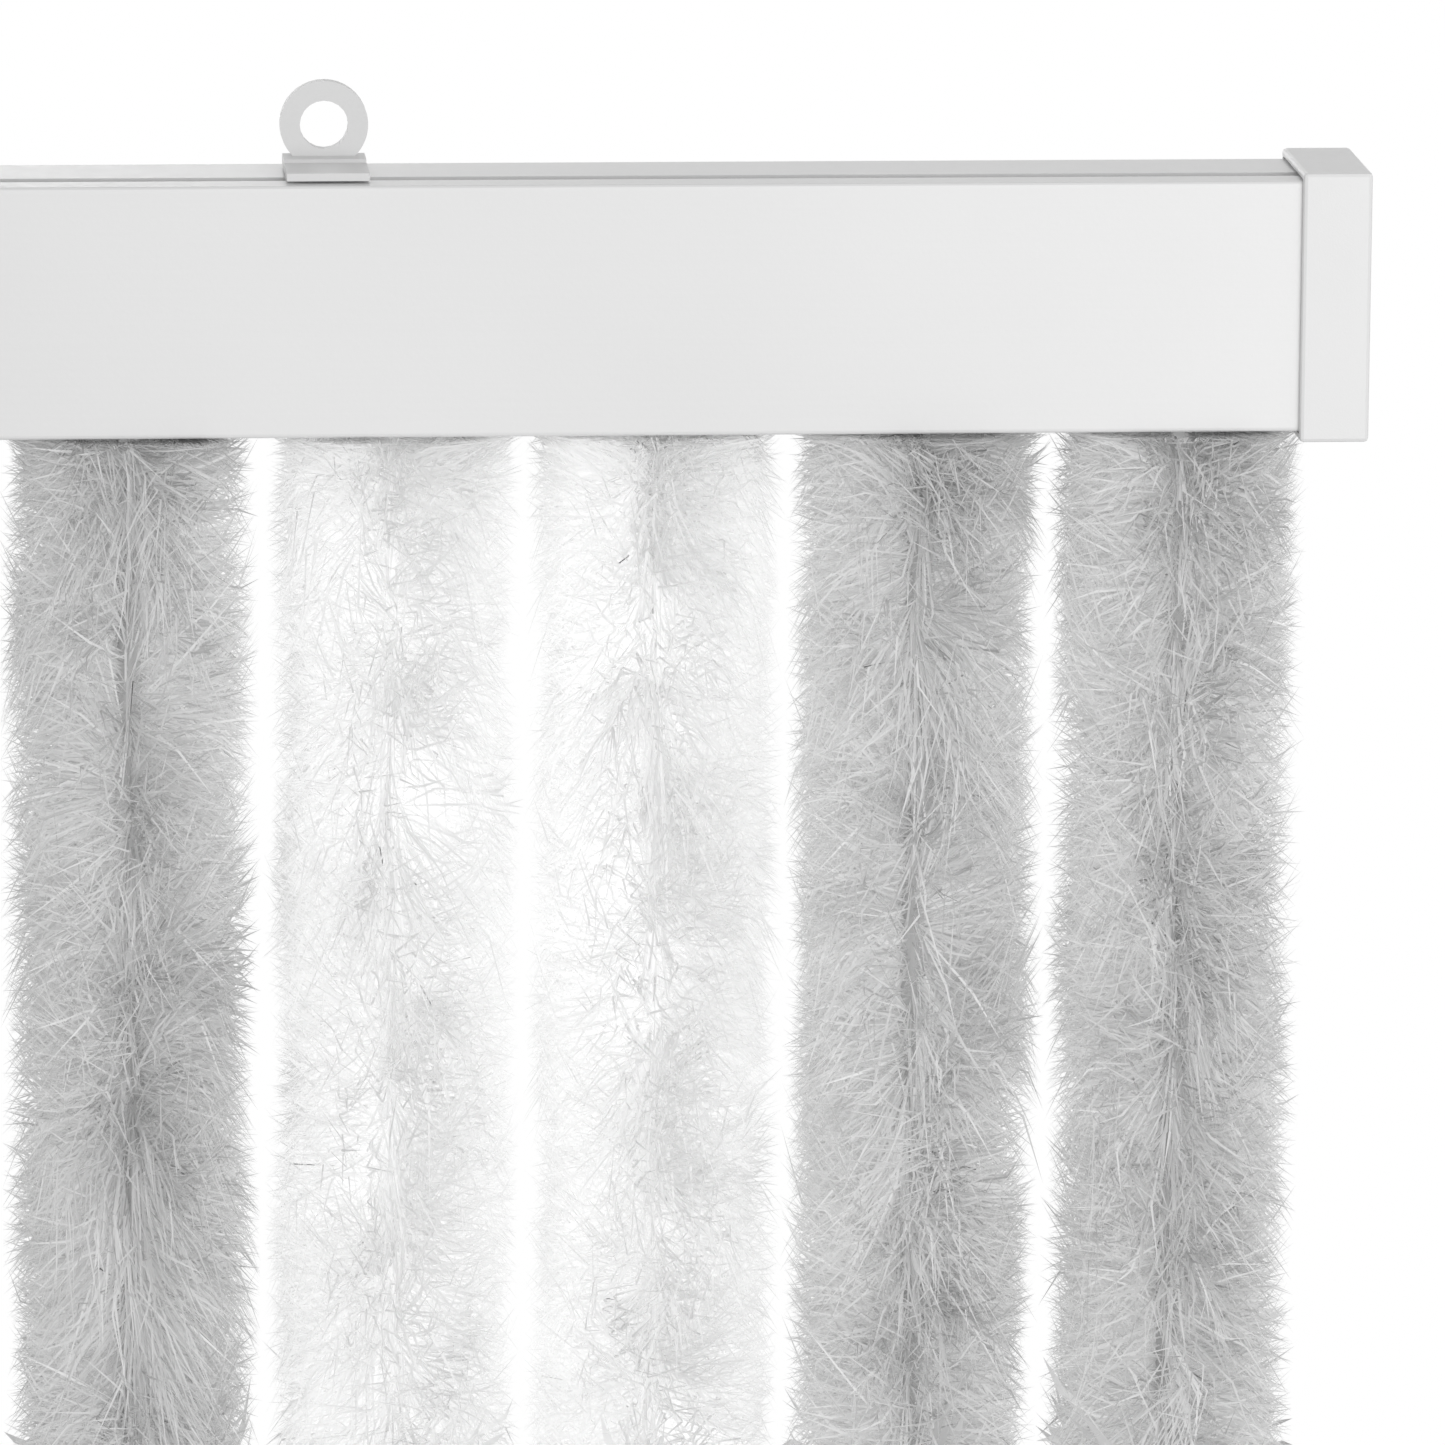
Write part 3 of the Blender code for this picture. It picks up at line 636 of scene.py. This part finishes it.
def set_camera():
    cy, sy = math.cos(CAMERA_YAW), math.sin(CAMERA_YAW)
    cp, sp = math.cos(CAMERA_PITCH), math.sin(CAMERA_PITCH)
    forward = Vector((sy * cp, cy * cp, -sp))
    right = Vector((cy, -sy, 0))
    up = right.cross(forward)
    cr, sr = math.cos(CAMERA_ROLL), math.sin(CAMERA_ROLL)
    rolled_right = right * cr + up * sr
    rolled_up = up * cr - right * sr
    turned = Matrix((rolled_right, rolled_up, -forward)).transposed().to_4x4()
    lens = bpy.data.cameras.new("camera")
    lens.sensor_width = SENSOR
    lens.lens = FOCAL_PIXELS / FRAME_SIDE * SENSOR
    lens.clip_start, lens.clip_end = 0.05, 60
    camera = bpy.data.objects.new("camera", lens)
    camera.matrix_world = Matrix.Translation(AIM - forward * CAMERA_DISTANCE) @ turned
    bpy.context.scene.collection.objects.link(camera)
    bpy.context.scene.camera = camera


def area_light(name, place, aim, size, power):
    lamp = bpy.data.lights.new(name, "AREA")
    lamp.shape = "DISK"
    lamp.size = size
    lamp.energy = power
    light = bpy.data.objects.new(name, lamp)
    place, aim = Vector(place), Vector(aim)
    turned = (aim - place).to_track_quat("-Z", "Y").to_matrix().to_4x4()
    light.matrix_world = Matrix.Translation(place) @ turned
    light.visible_camera = False
    bpy.context.scene.collection.objects.link(light)


def light_world(strength):
    """Soft even light, and plain white for what the camera and the gloss see."""
    world = bpy.data.worlds.new("studio")
    world.use_nodes = True
    bpy.context.scene.world = world
    n = Nodes(world.node_tree)
    path = n.add("ShaderNodeLightPath").outputs
    seen = n.math("MAXIMUM", path["Is Camera Ray"], path["Is Transmission Ray"])
    seen = n.math("MAXIMUM", seen, path["Is Glossy Ray"])
    background = world.node_tree.nodes["Background"]
    background.inputs["Color"].default_value = (1, 1, 1, 1)
    link(n, n.remap(seen, 0.0, 1.0, strength, 1.0), background.inputs["Strength"])


def lay_floor():
    """A pale disc that keeps the curtain's shadow and fades out to white."""
    mesh = bpy.data.meshes.new("floor")
    work = bmesh.new()
    bmesh.ops.create_circle(work, cap_ends=True, segments=96, radius=FLOOR_RADIUS)
    bmesh.ops.translate(work, vec=(0, 0, FLOOR_HEIGHT), verts=work.verts)
    work.to_mesh(mesh)
    work.free()
    floor = bpy.data.objects.new("floor", mesh)
    bpy.context.scene.collection.objects.link(floor)
    material, n, surface = new_material("pale floor")
    surface["Base Color"].default_value = (0.86, 0.86, 0.86, 1)
    surface["Roughness"].default_value = 0.9
    surface["Specular IOR Level"].default_value = 0.1
    x, y, _ = n.parts(n.out("ShaderNodeTexCoord", name="Object"))
    away = n.math("SQRT", n.math("ADD", n.math("MULTIPLY", x, x), n.math("MULTIPLY", y, y)))
    fade = n.remap(away, FLOOR_RADIUS * 0.3, FLOOR_RADIUS * 0.95, 0.0, 1.0, True)
    seen = n.add("ShaderNodeLightPath").outputs["Is Camera Ray"]
    white = n.out("ShaderNodeEmission", {"Color": (1, 1, 1, 1), "Strength": 1.0})
    painted = material.node_tree.nodes["Principled BSDF"].outputs[0]
    mixed = n.add("ShaderNodeMixShader", {0: n.math("MULTIPLY", fade, seen), 1: painted, 2: white})
    link(n, mixed.outputs[0], material.node_tree.nodes["Material Output"].inputs["Surface"])
    mesh.materials.append(material)


def hang_curtain():
    # In each pile material the second ramp is painted shade: darker at the root, where the pile is
    # deep, and a little at the tip.
    grey = pile_material(
        "grey pile",
        [(0.0, 0.64), (0.25, 0.745), (0.6, 0.805), (0.88, 0.875), (1.0, 0.97)],
        [(0.0, 0.58), (PAINTED_ROOT_SHADE_RUN, 0.98), (0.3, 1.0), (1.0, 0.95)],
    )
    white = pile_material(
        "white pile",
        [(0.0, 0.935), (0.3, 0.966), (1.0, 0.985)],
        [(0.0, 0.95), (PAINTED_ROOT_SHADE_RUN, 1.0), (0.3, 1.0), (1.0, 0.966)],
    )
    tree = pile_tree()
    items = tree.interface.items_tree
    sockets = {item.name: item.identifier for item in items if item.in_out == "INPUT"}
    thread = thread_loop_mesh()
    for index in range(STRAND_COUNT):
        material, slot = (grey, "grey_pile") if is_grey(index) else (white, "white_pile")
        piece, x = strand(index, tree, sockets, material, thread)
        hang_strand(piece, f"strand_{index + 1:02d}")


set_camera()
hang_curtain()
dress(["rail"], finish_material("white lacquer", 0.80, 0.34, 1600.0, 0.02 * MM))
dress(["end_cap_left", "end_cap_right"], finish_material("cap plastic", 0.76, 0.36, 5200.0))
dress(["hanging_eye_left", "hanging_eye_right"], finish_material("eye plastic", 0.72, 0.46, 4200.0))
gliders = [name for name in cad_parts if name.startswith("glider_")]
dress(gliders, finish_material("glider plastic", 0.75, 0.5, 4200.0))
light_world(0.53)
area_light("soft front light", (0.5, -2.4, 0.3), (0.1, 0, -0.2), 1.6, 20)
area_light("soft back light", (-0.5, 2.4, 0.3), (0, 0, -0.4), 1.6, 7)
area_light("fill light at the right", (0.36, -0.22, 0.0), (0.3, 0, -0.03), 0.14, 0.085)
lay_floor()

scene = bpy.context.scene
scene.view_settings.view_transform = "Standard"
scene.cycles.diffuse_bounces = 12  # light goes from fibre to fibre many times in the white pile
